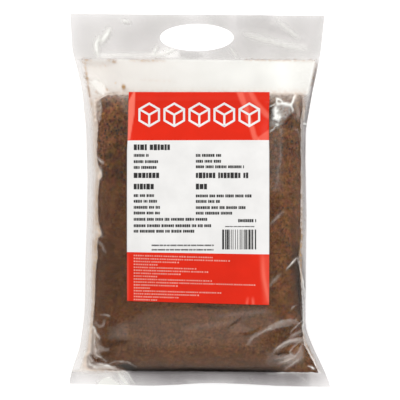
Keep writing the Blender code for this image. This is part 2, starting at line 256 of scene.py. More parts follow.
# Milky places over the sugar, many of them painted highlights and reflections, and clearer ones with a share
# below zero, which take painted reflection away
MILK_AND_HIGHLIGHT_PLACES = (
    (12, 0.04, -114, -172, -99, -156, -62, -137, 78, -132, 105, -150, 70, -176, -60, -180),
    (9, 0.012, -110, -176, 100, -176, 110, -204, -100, -204),
    (4, 0.6, -137, 149, -131, 151, -121, 146, -113, 134, -119, 131, -130, 138),
    (8, 0.07, -100, 132, -88, 132, -88, 104, -95, 112),
    (3.5, 0.3, -132, 126, -122.5, 126, -121.5, 112, -124, 98, -132, 98),
    # Corner at the top right: a band along the sugar's top, and a bubble with a painted white highlight on
    # its lower left side
    (5, 0.15, 88, 133, 124, 133, 122, 121, 116, 119, 100, 119, 88, 122),
    (5, 0.26, 95, 119, 104, 119, 115, 118, 114, 108, 107, 101, 97, 98, 94, 104),
    (5, 0.5, 91, 112, 94, 118, 97, 117, 98.5, 109, 102, 104, 98, 98, 92, 101),
    (6, 0.2, 90, 105, 101, 105, 104, 97, 98, 90, 88, 92), (12, 0.04, 86, 95, 105, 95, 103, 10, 86, 10),
    (8, 0.09, 117, 130, 128, 130, 128, 98, 118, 102),
    # Broad painted reflections on the fan at the bottom right
    (3.5, 0.07, 66, -171, 80, -160, 95, -152, 109, -148.3, 120, -149.5, 124, -153, 113, -156, 95, -158.5,
     79, -163),
    (3, 0.1, 92, -187.5, 100, -180, 108, -175, 118, -172.8, 130, -173, 123, -177, 112, -180, 102, -184),
    (4, 0.035, 34, -160, 50, -152, 62, -158, 70, -160, 56, -164, 44, -164),
    (2.5, 0.07, 58, -179.5, 62, -171.5, 69, -164.5, 75, -162, 68, -170, 63, -180.5),
    (9, 0.07, 84, -190, 112, -190, 131, -184, 131, -203, 112, -208, 84, -204),
    (5, 0.12, 106, -192, 120, -193, 129, -184, 130, -197, 118, -203, 106, -202),
    # Bottom left corner: a clouded tongue, a residue pouch, and dark bands to the right of them, free of
    # painted reflection
    (5, 0.3, -140, -158, -131, -158, -129, -191, -140, -191),
    (6, 0.12, -132, -166, -127, -166, -120, -186, -130, -190),
    (4, 0.3, -145, -190, -135.5, -190, -134, -206, -145, -206),
    (4, 0.36, -145, -205, -131, -205, -118, -203.5, -102, -212, -145, -216),
    (3, -0.05, -108, -204, -100, -201.5, -91, -202.5, -83, -206, -82, -211, -96, -211),
    (2.5, -0.05, -121, -174, -118, -181, -104, -182, -86, -174, -100, -175),
    (2.2, -0.06, 36, -157, 43, -150, 51, -146, 51, -149, 44, -154),
    (2.2, -0.06, 48, -165, 56, -164, 66, -162, 77, -157, 72, -162, 64, -166.5, 54, -167),
    (4, 0.22, -131, -186, -126, -186, -122, -197, -131, -197),
    (2.5, 0.2, -132, -207, -112, -207.5, -106, -212, -134, -212),
    (3.5, 0.14, -125, -182.5, -112, -184, -112, -188.5, -122, -189.5),
    (6, 0.035, -114, -158, -90, -150, -88, -171, -112, -171),
    (2.5, -0.04, -121, -188, -106, -189, -110, -193, -120, -194),
)
# Painted highlights on the bottom fin: smooth white arcs and a dome
FIN_HIGHLIGHT_ARCS = (
    (2, 0.75, -102, -216, -97.6, -223, -92.7, -228.9, -88, -234),
    (1.2, 0.5, -97, -215.8, -91, -216.4, -87.9, -221.1, -85.9, -225, -80, -233),
    (1.6, 0.3, -128, -219, -121, -218.4, -114, -219.5),
    (0.9, 0.09, -84, -217.6, -30, -218.6, 20, -217.4, 76, -218),
    (0.9, 0.3, 84, -218.2, 110, -217.5, 142, -217),
)
FIN_HIGHLIGHT_DOMES = (
    (2.5, 0.8, -128, -232, -123, -225.5, -117, -222.6, -113, -221.6, -107.4, -225.5, -101.5, -230, -98, -234,
     -120, -236),
)
# Grey of the welded film, in millimetres: across the bottom fin, up the right fin and across the header. On
# the bottom and right fins it is mostly painted shade, where the pouch's body shades the film. The bottom
# fin's grey changes from its weld to its edge, darkest in painted shade at the weld, and the header is
# lighter next to the seal.
BOTTOM_GREY_SHADE = (
    (-165, 0.5), (-152, 0.28), (-140, 0.23), (-128, 0.28), (-120, 0.26), (-111, 0.24), (-104, 0.38),
    (-92, 0.22), (-85, 0.66), (-72, 0.64), (-39, 0.82), (-20, 0.8), (0, 0.75), (22, 0.71), (36, 0.73),
    (51, 0.79), (103, 0.83), (120, 0.86), (133, 0.68), (141, 0.46), (156, 0.36), (165, 0.36),
)
BOTTOM_GREY_WELD, BOTTOM_GREY_EDGE, BOTTOM_STREAKS = 0.96, 0.56, 0.07
RIGHT_GREY_SHADE = ((-232, 0.4), (20, 0.44), (60, 0.68), (110, 0.56), (140, 0.28), (165, 0.22))
HEADER_GREY = (
    (-160, 0.25), (-112, 0.24), (-75, 0.27), (-20, 0.28), (30, 0.32), (60, 0.29), (100, 0.28), (160, 0.29),
)
HEADER_LIGHT, HEADER_LIGHT_REACH = 0.22, 0.009
# The header's weld begins this far past the seal, across x, both in millimetres
WELD_PAST = ((-160, 1.1), (-30, 1.4), (50, 2.2), (160, 2.2))
# Grey of the left fin, and painted shade on the empty right strip beside the sugar, as a share of the right
# fin's
LEFT_GREY, RIGHT_STRIP_SHADE = 0.17, 0.9
# Painted light and shade on facets of the header and of the bottom fin, and painted shade under the seal at
# the left
FACET_LIGHT_AND_SHADE = (
    (8, 0.06, 46, 233, 92, 233, 86, 216, 46, 216),
    (2.5, -0.17, -128, 184.4, -112, 183.6, -68, 182.6, -58, 185.6, -44, 187, -32, 188.5, -24, 186, -24, 179,
     -128, 179),
    (3, 0.07, 88, 220, 100, 219, 118, 206, 122, 202, 104, 208, 84, 212),
    (4, -0.05, 60, 206, 96, 201, 136, 196, 136, 188, 96, 196, 60, 201),
    (20, 0.03, -66, 220, -46, 212, -50, 190, -100, 192, -98, 214),
    (3, -0.1, -58, 190, -40, 192, -30, 188, -42, 184, -60, 184),
    (3, 0.08, -24, 187, -2, 186, 6, 180, -6, 178, -28, 180),
    (4, 0.24, -146, 177, -104, 176.5, -104, 170, -146, 168),
    (12, 0.055, -124, 170, -84, 170, -84, 152, -108, 152),
    (5, -0.08, -15, -226, 45, -226, 40, -234, -15, -233),
)
# Stained lines, brown spots and greyer lines on the film. The two greyer lines along the bottom weld are
# painted shade.
STAINS = (
    (1.3, 0.5, -147, 176, -136, 175.5), (1.3, 0.45, -116, 175.5, -105, 175), (1.3, 0.55, -87, 175, -43, 175),
    (1.1, 0.42, 57, 175.6, 146, 175),
    (1.3, 0.62, -146, 177, -141.6, 160, -140, 145, -138, 135, -136.6, 127, -134.4, 117),
    (2.2, 0.26, -141, 158, -139.5, 147), (3.4, 0.26, -126.5, 125, -126.5, 98),
    (1, 0.14, -133, 100, -133, 0, -133, -100, -135, -140), (4, 0.07, -140, 171, -130, 168, -112, 170),
    (2.5, 0.06, -74, 150, -52, 149, -30, 148), (1.4, 0.6, -109, 173.4, -105, 173),
    (1.2, 0.5, -146, 174, -142, 170), (2, 0.14, -138, -211, -104, -212),
    (3.6, 0.26, -131, -158, -129.5, -172, -127, -192), (1.2, 0.4, -134, -190, -130, -193),
    (1.8, 0.16, 130, 126, 131, 104), (3.4, 0.4, 123, 131, 122, 112),
    (1.3, 0.42, 147, 172, 144, 157, 141, 142), (2.2, 0.34, 128, -38, 126, -56, 127, -72),
)
SPOTS = (
    (1.6, 2.4, -94.4, 142.4, -93.8, 139.4), (1, 0.6, -104.6, 146.2, -104, 145.6),
    (1, 0.6, -115.8, 138.8, -114.2, 136.4), (1.2, 0.5, -129.4, 135.6, -129, 135),
    (1.1, 0.45, -127.4, 133.6, -127, 133), (1, 0.3, -118, 168.6, -117.6, 168),
)
GREY_LINES = (
    (1.4, 0.68, 146, 165, 144, 156, 141, 136, 136.5, 111, 133, 94),
    (1.2, 0.45, 148.4, 174, 146, 158, 142.8, 140), (1.4, 0.1, -112, 175.8, -60, 175.6, 0, 175.4, 40, 175.4),
    (1.2, 0.16, 40, 175.2, 90, 174.8, 146, 174.6), (1, 0.25, 133, 92, 131, 20, 131, -80),
    # Painted shade along the bottom weld
    (2.4, 1.05, -92, -214, -60, -214.4, -20, -213.8, 0, -213.5, 25, -213.8, 60, -215, 96, -215.3),
    (1, 0.6, -92, -215.6, -60, -215.9, 0, -215.9, 60, -216.6, 96, -216.5),
    (2.2, 0.45, 128, -70, 131, -98, 132, -125),
)
# Lines where the sugar shows dark: where the film is pressed tight and wet, and painted shade beside the
# right weld, along the label's left side and under its lower edge
DAMP_AND_SHADE_LINES = (
    (5.6, 0.55, 118, -20, 119, -50, 120, -90, 122, -125, 125, -150),
    (2.6, 0.6, 123, -60, 124, -90, 125.5, -125, 127, -150), (2.2, 0.7, 123, -156, 128, -160, 130, -169),
    (3.2, 1, -104, -207.5, -94, -207, -84, -208), (3.4, 0.34, -119, -180, -106, -178, -88, -174.5),
    (2.4, 0.34, -118, -191.5, -107, -190), (1.2, 0.35, -90.6, 73, -90.6, 20, -90.6, -30),
    (2.4, 0.7, -8, -131, 20, -133, 48, -134), (3.2, 1, 88, 118, 91, 108, 90, 96),
    (1.8, 0.42, 92, -191, 112, -190), (1.8, 0.6, 92, -200, 108, -197.5), (1.8, 0.6, 101, -209, 112, -204),
    (2, 0.16, 56, -172, 66, -176, 62, -184), (2.1, 0.56, 36, -158, 43, -152, 52, -147),
    (2, 0.5, 47, -168, 60, -168.5, 74, -164),
)

# Label: its sides at heights y, and its four cross lines as heights at the left and right side
LABEL_SIDES = (
    (-0.13, -0.0894, 0.0864), (0.06, -0.0894, 0.0866), (0.076, -0.0886, 0.0863), (0.112, -0.088, 0.0864),
    (0.124, -0.0877, 0.0871), (0.134, -0.0876, 0.0873),
)
LABEL_LINES = ((-0.1249, -0.1300), (-0.0643, -0.0672), (0.0736, 0.0741), (0.1340, 0.1339))
LABEL_CELLS_ACROSS, LABEL_ZONE_CELLS = 120, (44, 92, 42)
LABEL_LIFT, LABEL_THICKNESS, PRINT_LIFT = 0.0001, 0.0002, 0.0001
# Painted glare where the label looks paler, painted shade on its less bright ends, and its painted gleams
LABEL_GLARE = (
    (1.6, 0.62, -90, 117, -81, 136, -79.5, 136, -80.5, 106, -86, 74, -91, 74),
    (2.6, 0.44, 46, 135, 53.5, 135, 58, 121, 60.5, 115, 64, 101, 68.5, 89, 70.5, 81, 74.5, 74, 66.5, 74,
     62, 90, 58, 101, 54, 115, 50, 124),
    (3.4, 0.34, 61, 135, 66, 135, 72.6, 122.6, 80, 114, 88, 106, 88, 99, 80, 104, 72.6, 113, 65, 125),
    (4, 0.14, 53, 135, 63, 135, 69, 118, 64, 108, 60, 114), (1.8, 0.32, 89, 89, 73.4, 78.2, 72, 73, 89, 73),
    (10, 0.16, 76, -68, 90, -68, 90, -128, 80, -128),
)
LABEL_SHADE = (
    (40, -0.09, -92, 140, 92, 140, 92, 104, -92, 104), (30, -0.05, -92, -60, 56, -60, 56, -140, -92, -140),
)
LABEL_GLEAMS = (
    (2.6, 0.34, 78, -70, 79, -94, 83, -112, 87, -130), (1.5, 0.34, 60, -121, 58, -133),
    (1.5, 0.4, 66, -121, 67, -133), (1.6, 0.24, -89, -66, -89, -126),
)

# Print, in millimetres: where its rows start, and of each row the height on the label, the length, the
# height of the blocks, and 1 for bold
LEFT_COLUMN, RIGHT_COLUMN = -81.0, -4.2
SMALL, MIDDLE, LARGE = 3.7, 7.4, 7.2
PRINT_ROWS = {
    LEFT_COLUMN: (
        (65.2, 45.6, MIDDLE, 1), (55.1, 18.8, SMALL, 0), (47.4, 31.3, SMALL, 0), (40.2, 30.2, SMALL, 1),
        (30.4, 36.7, LARGE, 1), (16.6, 27.7, LARGE, 1), (5.4, 26.1, SMALL, 1), (-1.6, 30.8, SMALL, 0),
        (-9.1, 34.4, SMALL, 1), (-16.1, 33.6, SMALL, 0), (-23.9, 92.2, SMALL, 1), (-31.8, 96.9, SMALL, 1),
        (-38.6, 77.3, SMALL, 0),
    ),
    RIGHT_COLUMN: (
        (55.1, 31.6, SMALL, 0), (47.8, 32.5, SMALL, 0), (41, 60.2, SMALL, 0), (30.4, 65.6, LARGE, 1),
        (16.6, 18.3, LARGE, 1), (5, 69.2, SMALL, 0), (-1.8, 30.9, SMALL, 0), (-9.4, 63, SMALL, 0),
        (-16.3, 46.6, SMALL, 0),
    ),
    48: ((-25.5, 24.8, 4, 1),),
    32: ((-32.8, 37.4, 1.3, 0),),
    -58.8: ((-56, 76.6, 1.9, 0), (-61.5, 76.6, 1.9, 0)),
}
# Widths, heights and gaps of the blocks, as shares of their row's height, and how many make a group
BLOCK_WIDTHS, BLOCK_HEIGHTS, BLOCK_GAP, WORD_GAP, WORD_BLOCKS = (0.30, 0.66), (0.86, 1.0), 0.11, 0.40, (3, 9)
FOOT_BLOCK_WIDTHS, FOOT_BLOCK_GAP = (0.70, 1.15), 0.55
FOOT_ROW_TOP, FOOT_ROW_PITCH, FOOT_ROW_SLOPE, FOOT_BLOCK = -68.5, 3.63, -0.027, 1.8
FOOT_ROW_LENGTHS = (99, 120, 58, 30, 80, 92, 59, 30, 97, 152, 55, 20, 110, 81, 58, 30)
STRIPES_LEFT, STRIPES_RIGHT, STRIPES_LOW, STRIPES_HIGH = 28.4, 72.1, -61.0, -36.5
# Stripes and their gaps are one to three units wide, and ink spreads a little
STRIPE_UNIT, STRIPE_SPREAD = 0.72, 1.12
CUBE_CENTRES, CUBE_HEIGHT, CUBE_RADIUS = (-62, -31, 0, 31, 62), 105.5, 14.0
CUBE_STROKE, CUBE_OVERRUN = 2.6, 0.754
PRINT_CELL = 0.003

# Loose grains that cling to the film along lines: how far they stray, how many, points
LOOSE_GRAINS = (
    (0.9, 12, -147, 177, -136, 177), (0.9, 8, -116, 177, -105, 177), (0.9, 26, -87, 177, -43, 177),
    (0.9, 42, 57, 176, 146, 176), (1, 26, -147, 177, -142, 157, -140, 140, -137, 125, -134, 107),
    (3, 16, -130, 144, -112, 137), (2.6, 46, -129, 124, -129, 110, -126, 96), (1, 5, -134, 90, -134, 40),
    (4, 36, -139, -196, -120, -206), (1.6, 22, -141, -211, -110, -210), (1.6, 10, 130, 130, 131, 100),
    (1, 5, 133, 60, 132, -60), (2.4, 150, 134, -184, 140, -198, 147, -212),
    (0.9, 150, 120, 133, 60, 133.5, -60, 133.5, -110, 133),
    (1, 170, -126, 100, -129, 60, -128, 0, -130, -60, -132, -120, -133, -150),
)
GRAIN_STEPS = 200
GRAIN_SIZES, GRAIN_DEPTH, GRAIN_SQUASH, GRAIN_ROUGHNESS = (0.00025, 0.00060), 0.0001, (0.7, 1.2), 0.18


def clamped(share):
    return np.clip(share, 0.0, 1.0)


def smooth(share):
    share = clamped(share)
    return share * share * (3.0 - 2.0 * share)


def between(stations, at, column=1):
    """One column of a list of stations, interpolated."""
    rows = np.array(stations)
    return np.interp(at, rows[:, 0], rows[:, column])


def eased(stations, at, ease, column=1):
    """The same, averaged over a short stretch so that the stations leave no corners."""
    return np.mean([between(stations, at + spot, column) for spot in np.linspace(-ease, ease, 9)], axis=0)


def left_edge(y):
    return eased(OUTLINE, y, OUTLINE_EASE, 1)


def right_edge(y):
    return eased(OUTLINE, y, OUTLINE_EASE, 2)


def swell(distance, reach, power):
    """0 at a border, rising to 1 over a reach."""
    return 1.0 - (1.0 - clamped(distance / reach)) ** power


def noise_at(x, y, size, layer, kind=noise.noise):
    """Noise, about -1 to 1 if smooth, with features of a size in metres. Each layer is another pattern."""
    places = zip((x / size).ravel(), (y / size).ravel())
    return np.reshape([kind(Vector((a, b, layer))) for a, b in places], x.shape)


def to_nearest_cell(place):
    """Distance to the nearest of many scattered points: lumps with sharp valleys between them."""
    return noise.voronoi(place)[0][0]


def in_metres(numbers):
    """Points in metres, from x and y of each in millimetres."""
    return MM * np.reshape(numbers, (-1, 2))


def rounded(points):
    """A line through the same ends with its corners cut twice."""
    for _ in range(2):
        start, end = points[:-1], points[1:]
        cuts = np.stack((0.75 * start + 0.25 * end, 0.25 * start + 0.75 * end), axis=1)
        points = np.concatenate((points[:1], cuts.reshape(-1, 2), points[-1:]))
    return points


def close_to(x, y, points, reach):
    """Which places lie in the box round some points, widened by a reach."""
    (left, low), (right, high) = points.min(axis=0) - reach, points.max(axis=0) + reach
    return (x > left) & (x < right) & (y > low) & (y < high)


def nearest_on(x, y, points):
    """Distance from each place to a line, how far along the line that is, 0 to 1, and on which side."""
    steps = np.hypot(*np.diff(points, axis=0).T)
    distance, share, on_left, start = np.full(x.shape, np.inf), 0.0, False, 0.0
    for (x0, y0), (x1, y1), step in zip(points, points[1:], steps):
        dx, dy = x1 - x0, y1 - y0
        along = clamped(((x - x0) * dx + (y - y0) * dy) / step**2)
        away = np.hypot(x - x0 - along * dx, y - y0 - along * dy)
        share = np.where(away < distance, (start + along * step) / steps.sum(), share)
        on_left = np.where(away < distance, dx * (y - y0) > dy * (x - x0), on_left)
        distance = np.minimum(away, distance)
        start += step
    return distance, share, on_left


def line_share(x, y, points, width, spread=1.0):
    """1 on a line, less across its width and towards both ends. Its left-hand side is spread times wider."""
    found = np.zeros(x.shape)
    near = close_to(x, y, points, 3.0 * width * max(spread, 1.0))
    if near.any():
        distance, share, on_left = nearest_on(x[near], y[near], points)
        taper = np.sin(np.pi * (CREASE_TIPS + (1.0 - 2.0 * CREASE_TIPS) * share)) ** CREASE_ENDS
        found[near] = np.exp(-((distance / np.where(on_left, spread * width, width)) ** 2)) * taper
    return found


def patch_share(x, y, points, soft):
    """1 inside a closed outline, falling to 0 over a soft edge."""
    found = np.zeros(x.shape)
    near = close_to(x, y, points, soft)
    if near.any():
        px, py = x[near], y[near]
        closed = np.concatenate((points, points[:1]))
        inside = np.zeros(px.shape, bool)
        for (x0, y0), (x1, y1) in zip(closed, closed[1:]):
            if y0 != y1:
                inside ^= ((y0 > py) != (y1 > py)) & (px < x0 + (py - y0) * (x1 - x0) / (y1 - y0))
        away = nearest_on(px, py, closed)[0]
        found[near] = smooth(0.5 + np.where(inside, away, -away) / soft)
    return found


def sum_of_lines(x, y, lines, spread=1.0):
    """Shares of all lines of a table, added up."""
    total = np.zeros(x.shape)
    for width, share, *points in lines:
        total += share * line_share(x, y, rounded(in_metres(points)), width * MM, spread)
    return total


def sum_of_patches(x, y, patches):
    """Shares of all places of a table, added up."""
    return sum(share * patch_share(x, y, in_metres(points), soft * MM) for soft, share, *points in patches)


def fading(distance, reach):
    """1 up to a border, and less and less past it."""
    return np.exp(-np.maximum(distance, 0.0) / reach)


def make_pleats():
    """Random short creases from both side welds inwards."""
    draw = np.random.default_rng(SEED)
    pleats = []
    for edge, fin, inward in ((left_edge, LEFT_FIN, 1.0), (right_edge, RIGHT_FIN, -1.0)):
        y = PLEATS_FROM
        while y < PLEATS_TO:
            length = draw.uniform(*PLEAT_LENGTH)
            x = float(edge(np.array(y))) + inward * fin
            end = (x + inward * length, y + draw.uniform(-PLEAT_SLANT, PLEAT_SLANT) * length)
            pleats.append((np.array(((x, y), end)), draw.uniform(*PLEAT_WIDTH), draw.uniform(*PLEAT_HEIGHT)))
            y += draw.uniform(*PLEAT_GAP)
    return pleats


PLEATS = make_pleats()


def seam_height(x, y):
    """Middle height of the welded film."""
    z = eased(SEAM, y, HEIGHT_EASE / 2)
    past_left = np.maximum(left_edge(y) + LEFT_FIN - x, 0.0) / LEFT_FIN
    past_right = np.maximum(x - right_edge(y) + RIGHT_FIN, 0.0) / RIGHT_FIN
    full = clamped((SEAL - y) / FULL_BELOW_SEAL) * clamped((y - BOTTOM) / FULL_ABOVE_BOTTOM)
    z = z - full * (LEFT_FIN_SAG * past_left + RIGHT_FIN_DROP * past_right)
    above_seal = np.maximum(y - SEAL, 0.0) / HEADER_HEIGHT
    return z + HEADER_WAVE * above_seal * np.sin(x / HEADER_WAVE_LENGTH + HEADER_WAVE_PHASE)


def bottom_shift(x, y):
    """How much higher than at the right-hand corner the lower edge and its weld lie: they run askew."""
    return BOTTOM_SKEW * (0.5 - x / WIDTH) * clamped((BOTTOM + SKEW_HEIGHT - y) / SKEW_HEIGHT)


def distances(x, y):
    """How far a place is in from the left, right and bottom welds and from the seal."""
    from_left = x - left_edge(y) - LEFT_FIN
    from_right = right_edge(y) - RIGHT_FIN - x
    return from_left, from_right, y - BOTTOM - BOTTOM_FIN - bottom_shift(x, y), SEAL - y


def front_share(x, y):
    from_left, from_right, from_bottom, from_seal = distances(x, y)
    ends = swell(from_bottom, BOTTOM_REACH, BOTTOM_POWER) * swell(from_seal, SHOULDER_REACH, SHOULDER_POWER)
    return swell(from_left, SIDE_REACH, SIDE_POWER) * swell(from_right, SIDE_REACH, SIDE_POWER) * ends


def fold_relief(x, y):
    """The main folds and lumps that the frame's solid has too."""
    relief = LUMP_HEIGHT * noise_at(x, y, LUMP_SIZE, 0.0)
    for x0, y0, x1, y1, width, height in FOLDS:
        dx, dy = x1 - x0, y1 - y0
        length = math.hypot(dx, dy)
        along = ((x - x0) * dx + (y - y0) * dy) / length**2
        off = ((x - x0) * dy - (y - y0) * dx) / length
        share = clamped((along + FOLD_OVERRUN) / (1.0 + 2.0 * FOLD_OVERRUN))
        relief += height * np.sin(np.pi * share) ** FOLD_FADE * np.exp(-((off / width) ** 2))
    return relief


def wavered(x, y):
    """Places shifted a little, so that lines drawn there waver."""
    reach = CREASE_WAVER * (1.0 - HEADER_STEADY * clamped((y - SEAL + HEADER_CALM) / HEADER_CALM))
    over, up = (reach * noise_at(x, y, CREASE_WAVER_SIZE, layer) for layer in (21.0, 22.0))
    return x + over, y + up


def fine_relief(x, y):
    """The creases and pleats that are too fine for the frame's solid."""
    x, y = wavered(x, y)
    relief = sum_of_lines(x, y, [(width, height * MM, *points) for width, height, _, *points in CREASES])
    return relief + sum(height * line_share(x, y, points, width) for points, width, height in PLEATS)


def film_top(x, y):
    """Height of the front sheet of film."""
    share = front_share(x, y)
    seam = seam_height(x, y)
    relief = fold_relief(x, y) * clamped(share / RELIEF_FROM) + fine_relief(x, y)
    return seam + FILM_GAP / 2 + (eased(CROWN, y, HEIGHT_EASE) - seam) * share + relief


def film_bottom(x, y):
    """Height of the back sheet of film, which lies flat under the sugar."""
    back = swell(np.minimum.reduce(distances(x, y)), BACK_REACH, BACK_POWER)
    return (seam_height(x, y) - FILM_GAP / 2) * (1.0 - back)


def add_object(name, places, faces, material, smooth_shaded=True):
    """A mesh from the x, y and z of its points, each as an array of any shape."""
    mesh = bpy.data.meshes.new(name)
    mesh.from_pydata(np.stack([np.ravel(part) for part in places], axis=1).tolist(), [], faces)
    mesh.materials.append(material)
    if smooth_shaded:
        mesh.shade_smooth()
    made = bpy.data.objects.new(name, mesh)
    bpy.context.scene.collection.objects.link(made)
    return made


def add_marks(obj, marks):
    """Stores values at the points of a mesh, for its material to read."""
    for name, values in marks.items():
        made = obj.data.attributes.new(name, "FLOAT", "POINT")
        made.data.foreach_set("value", np.ravel(values).astype(np.float32))


def drop_loose_points(obj):
    """Takes out the points that belong to no face."""
    bare = bmesh.new()
    bare.from_mesh(obj.data)
    bmesh.ops.delete(bare, geom=[v for v in bare.verts if not v.link_faces], context="VERTS")
    bare.to_mesh(obj.data)
    bare.free()


def numbered(x):
    """Numbers of the points of a grid."""
    return np.arange(x.size).reshape(x.shape)


def grid_faces(index, flip=False):
    """Quads between the neighbours of a table of vertex numbers, facing up, or down if flipped."""
    corners = index[:-1, :-1], index[:-1, 1:], index[1:, 1:], index[1:, :-1]
    return np.stack([corner.ravel() for corner in corners[:: -1 if flip else 1]], axis=1).tolist()


def film_plan(step=1):
    """Plan places of the film's grid, rows from the bottom up, and its vertex numbers.

    The rows of the header run round the handle hole: the row through the hole's middle is there twice, once
    along the hole's lower edge and once along its upper edge.
    """
    zones = BOTTOM_CELLS, LENGTH_CELLS, HEADER_CELLS
    bottom_cells, length_cells, header_cells = (cells // step for cells in zones)
    rows = np.concatenate((
        np.linspace(BOTTOM, BOTTOM + BOTTOM_FIN, bottom_cells + 1)[:-1],
        np.linspace(BOTTOM + BOTTOM_FIN, SEAL, length_cells + 1)[:-1],
        np.linspace(SEAL, HOLE_Y, header_cells + 1),
        np.linspace(HOLE_Y, TOP, header_cells + 1),
    ))
    slit = bottom_cells + length_cells + header_cells

    left, right = left_edge(rows)[:, None], right_edge(rows)[:, None]
    shares = np.linspace(0.0, 1.0, WIDTH_CELLS // step + 1)
    fin_shares = [np.linspace(0.0, 1.0, max(cells // step, 2) + 1)[:-1] for cells in FIN_CELLS]
    x = np.concatenate((
        left + LEFT_FIN * fin_shares[0],
        left + LEFT_FIN + (right - RIGHT_FIN - left - LEFT_FIN) * shares,
        right - RIGHT_FIN * fin_shares[1][::-1],
    ), axis=1)
    y = np.repeat(rows[:, None], x.shape[1], axis=1)
    wave = eased(FIN_WAVE, x, OUTLINE_EASE) * clamped((BOTTOM + BOTTOM_FIN - y) / BOTTOM_FIN)
    y = y + bottom_shift(x, y) + wave

    first = int(np.argmin(np.abs(x[slit] - HOLE_X + HOLE_HALF_WIDTH)))
    last = int(np.argmin(np.abs(x[slit] - HOLE_X - HOLE_HALF_WIDTH)))
    round_hole = HOLE_X - HOLE_HALF_WIDTH * np.cos(np.pi * np.arange(last - first + 1) / (last - first))
    at_slit = np.interp(x[slit], [x[slit, 0], x[slit, first]], [x[slit, 0], round_hole[0]])
    at_slit[last:] = np.interp(x[slit, last:], [x[slit, last], x[slit, -1]], [round_hole[-1], x[slit, -1]])
    at_slit[first : last + 1] = round_hole
    rise = HOLE_HALF_HEIGHT * np.sqrt(np.maximum(1.0 - ((at_slit - HOLE_X) / HOLE_HALF_WIDTH) ** 2, 0.0))
    rise[[first, last]] = 0.0
    shift = at_slit - x[slit]
    for row in range(bottom_cells + length_cells, len(rows)):
        above = row > slit
        share = (row - slit - 1) / header_cells if above else (row - slit + header_cells) / header_cells
        x[row] += shift * (1.0 - share if above else share) ** 2
        skewed = TOP - HEADER_SKEW * (x[row] - x[row, 0]) / (x[row, -1] - x[row, 0])
        hole_edge = HOLE_Y + (rise if above else -rise)
        y[row] = hole_edge + (skewed - hole_edge) * share if above else SEAL + (hole_edge - SEAL) * share

    index = numbered(x)
    index[slit + 1, : first + 1] = index[slit, : first + 1]
    index[slit + 1, last:] = index[slit, last:]
    return x, y, index, slit


def make_film_sheet(name, material, height, step, facing_down):
    """One sheet of the pouch's film with the handle hole in its header."""
    x, y, index, slit = film_plan(step)
    faces = grid_faces(index[: slit + 1], facing_down) + grid_faces(index[slit + 1 :], facing_down)
    film = add_object(name, (x, y, height(x, y)), faces, material)
    add_marks(film, film_marks(x, y))
    drop_loose_points(film)
    return film


def sugar_edge(stations, at, ease=SUGAR_EASE):
    """A side of the sugar at heights y, or its lower edge across x."""
    return eased(stations, at / MM, ease) * MM


def inside_sugar(x, y):
    """How far a place is in from the sugar's left and right side, its lower edge and its top."""
    low = sugar_edge(SUGAR_LOW, x, LOW_EASE)
    return x - sugar_edge(SUGAR_LEFT, y), sugar_edge(SUGAR_RIGHT, y) - x, y - low, SUGAR_TOP - y


